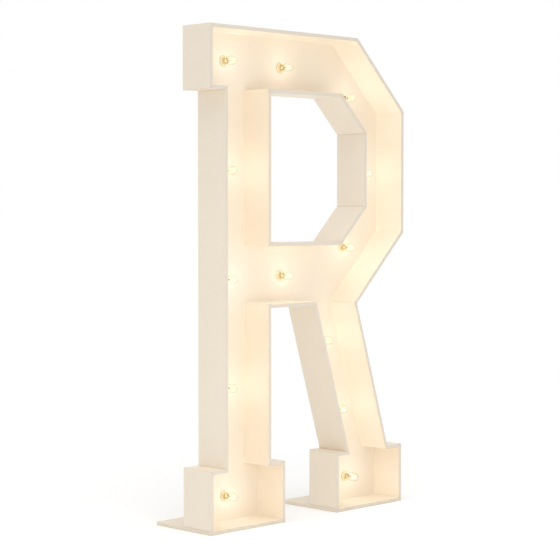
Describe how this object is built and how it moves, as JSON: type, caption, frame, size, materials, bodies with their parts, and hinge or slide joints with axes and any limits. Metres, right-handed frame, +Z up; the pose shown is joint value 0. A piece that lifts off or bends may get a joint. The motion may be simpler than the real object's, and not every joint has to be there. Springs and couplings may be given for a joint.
{
  "type": "light-up letter",
  "caption": "Free-standing marquee letter R of painted boards with an open lit channel, screw-in bulbs and foot plates.",
  "frame": {"origin": "on the floor, under the middle of the bounding box", "axes": "+Z up, -Y out of the lit front, +X to the right as the letter is read"},
  "size_m": [0.686, 0.194, 1.2],
  "materials": {
    "painted_board": "satin cream paint on fibreboard",
    "lampholder_plastic": "moulded cream thermoset",
    "lamp_glass": "clear warm glass, lit",
    "cord_plastic": "satin flexible vinyl",
    "box_plastic": "fine-textured moulding",
    "black_plastic": "semi-gloss moulding"
  },
  "bodies": {
    "letter": {"back_panel": "painted_board", "board_left_foot_left": "painted_board", "board_left_foot_top_left": "painted_board", "board_stem_left": "painted_board", "board_serif_underside": "painted_board", "board_serif_end": "painted_board", "board_top": "painted_board", "board_bowl_upper_corner": "painted_board", "board_bowl_side": "painted_board", "board_bowl_lower_corner": "painted_board", "board_leg_outer": "painted_board", "board_right_foot_top_right": "painted_board", "board_right_foot_right": "painted_board", "board_right_foot_left": "painted_board", "board_right_foot_top_left": "painted_board", "board_leg_inner": "painted_board", "board_crossbar_underside": "painted_board", "board_stem_right_lower": "painted_board", "board_left_foot_top_right": "painted_board", "board_left_foot_right": "painted_board", "board_counter_left": "painted_board", "board_counter_bottom": "painted_board", "board_counter_lower_corner": "painted_board", "board_counter_right": "painted_board", "board_counter_upper_corner": "painted_board", "board_counter_top": "painted_board", "base_left_foot": "painted_board", "base_right_foot": "painted_board", "lampholder_left_foot": "lampholder_plastic", "lampholder_stem_low": "lampholder_plastic", "lampholder_stem_middle": "lampholder_plastic", "lampholder_stem_high": "lampholder_plastic", "lampholder_top_left": "lampholder_plastic", "lampholder_top_middle": "lampholder_plastic", "lampholder_bowl_upper_corner": "lampholder_plastic", "lampholder_bowl_side": "lampholder_plastic", "lampholder_bowl_lower_corner": "lampholder_plastic", "lampholder_crossbar": "lampholder_plastic", "lampholder_leg_high": "lampholder_plastic", "lampholder_leg_low": "lampholder_plastic", "lampholder_right_foot": "lampholder_plastic", "lamp_cord": "cord_plastic", "control_box": "box_plastic", "control_box_lid": "box_plastic", "switch_body": "black_plastic", "power_inlet": "black_plastic"},
    "bulb_left_foot": {"bulb_left_foot": "lamp_glass"},
    "bulb_stem_low": {"bulb_stem_low": "lamp_glass"},
    "bulb_stem_middle": {"bulb_stem_middle": "lamp_glass"},
    "bulb_stem_high": {"bulb_stem_high": "lamp_glass"},
    "bulb_top_left": {"bulb_top_left": "lamp_glass"},
    "bulb_top_middle": {"bulb_top_middle": "lamp_glass"},
    "bulb_bowl_upper_corner": {"bulb_bowl_upper_corner": "lamp_glass"},
    "bulb_bowl_side": {"bulb_bowl_side": "lamp_glass"},
    "bulb_bowl_lower_corner": {"bulb_bowl_lower_corner": "lamp_glass"},
    "bulb_crossbar": {"bulb_crossbar": "lamp_glass"},
    "bulb_leg_high": {"bulb_leg_high": "lamp_glass"},
    "bulb_leg_low": {"bulb_leg_low": "lamp_glass"},
    "bulb_right_foot": {"bulb_right_foot": "lamp_glass"},
    "rocker": {"switch_rocker": "black_plastic"}
  },
  "joints": [
    {"name": "bulb_left_foot_turn", "type": "hinge", "parent": "letter", "child": "bulb_left_foot", "pos_m": [-0.219, -0.01, 0.0705], "axis": [0, -1, 0], "range_deg": [0, 720]},
    {"name": "bulb_stem_low_turn", "type": "hinge", "parent": "letter", "child": "bulb_stem_low", "pos_m": [-0.219, -0.01, 0.33387], "axis": [0, -1, 0], "range_deg": [0, 720]},
    {"name": "bulb_stem_middle_turn", "type": "hinge", "parent": "letter", "child": "bulb_stem_middle", "pos_m": [-0.219, -0.01, 0.59725], "axis": [0, -1, 0], "range_deg": [0, 720]},
    {"name": "bulb_stem_high_turn", "type": "hinge", "parent": "letter", "child": "bulb_stem_high", "pos_m": [-0.219, -0.01, 0.86062], "axis": [0, -1, 0], "range_deg": [0, 720]},
    {"name": "bulb_top_left_turn", "type": "hinge", "parent": "letter", "child": "bulb_top_left", "pos_m": [-0.219, -0.01, 1.124], "axis": [0, -1, 0], "range_deg": [0, 720]},
    {"name": "bulb_top_middle_turn", "type": "hinge", "parent": "letter", "child": "bulb_top_middle", "pos_m": [-0.027, -0.01, 1.1185], "axis": [0, -1, 0], "range_deg": [0, 720]},
    {"name": "bulb_bowl_upper_corner_turn", "type": "hinge", "parent": "letter", "child": "bulb_bowl_upper_corner", "pos_m": [0.20026, -0.01, 1.05176], "axis": [0, -1, 0], "range_deg": [0, 720]},
    {"name": "bulb_bowl_side_turn", "type": "hinge", "parent": "letter", "child": "bulb_bowl_side", "pos_m": [0.267, -0.01, 0.86], "axis": [0, -1, 0], "range_deg": [0, 720]},
    {"name": "bulb_bowl_lower_corner_turn", "type": "hinge", "parent": "letter", "child": "bulb_bowl_lower_corner", "pos_m": [0.20026, -0.01, 0.66824], "axis": [0, -1, 0], "range_deg": [0, 720]},
    {"name": "bulb_crossbar_turn", "type": "hinge", "parent": "letter", "child": "bulb_crossbar", "pos_m": [-0.027, -0.01, 0.6015], "axis": [0, -1, 0], "range_deg": [0, 720]},
    {"name": "bulb_leg_high_turn", "type": "hinge", "parent": "letter", "child": "bulb_leg_high", "pos_m": [0.117, -0.01, 0.43158], "axis": [0, -1, 0], "range_deg": [0, 720]},
    {"name": "bulb_leg_low_turn", "type": "hinge", "parent": "letter", "child": "bulb_leg_low", "pos_m": [0.17318, -0.01, 0.25104], "axis": [0, -1, 0], "range_deg": [0, 720]},
    {"name": "bulb_right_foot_turn", "type": "hinge", "parent": "letter", "child": "bulb_right_foot", "pos_m": [0.213, -0.01, 0.0705], "axis": [0, -1, 0], "range_deg": [0, 720]},
    {"name": "switch_rocker_tilt", "type": "hinge", "parent": "letter", "child": "rocker", "pos_m": [-0.142, 0.0332, 0.098], "axis": [1, 0, 0], "range_deg": [0, 24]}
  ]
}
